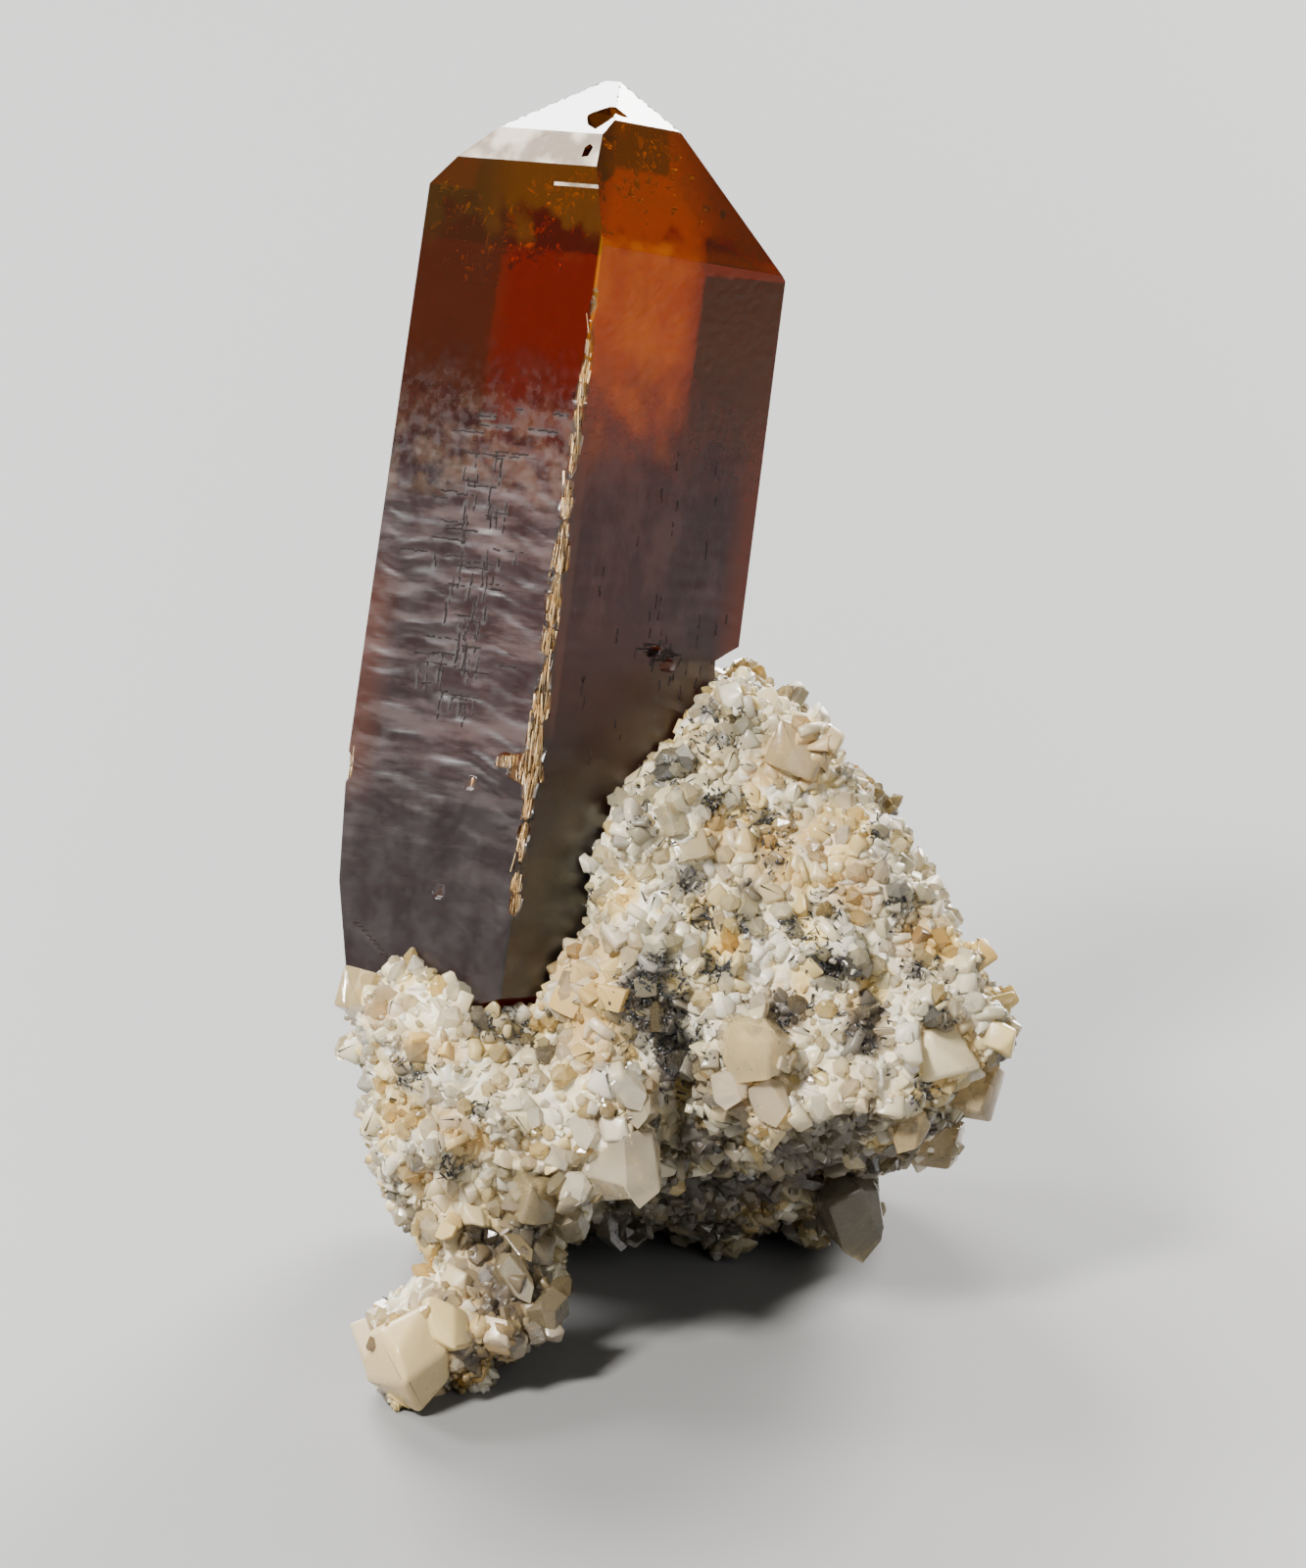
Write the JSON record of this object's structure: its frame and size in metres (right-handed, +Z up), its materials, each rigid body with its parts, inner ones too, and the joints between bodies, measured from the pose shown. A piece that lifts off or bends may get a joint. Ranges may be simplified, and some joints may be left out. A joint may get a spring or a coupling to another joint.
{
  "type": "mineral specimen",
  "caption": "Amber-brown square prism crystal with a pyramid end, leaning out of a rough pale feldspar and quartz matrix with a small foot.",
  "frame": {"origin": "middle of the outline in X and Y, on the floor that the specimen stands on", "axes": "+Z up; the viewer of the display side looks along +Y; +X to the viewer's right"},
  "size_m": [0.0314, 0.035, 0.0563],
  "materials": {
    "amber_xenotime": "clear amber at the top, dark purple-brown with a silvery etched sheen lower down",
    "feldspar_grains": "sugary cream and white grains, partly clear, with dark patches"
  },
  "bodies": {
    "root": {"xenotime_crystal": "amber_xenotime", "feldspar_matrix": "feldspar_grains"}
  },
  "joints": []
}
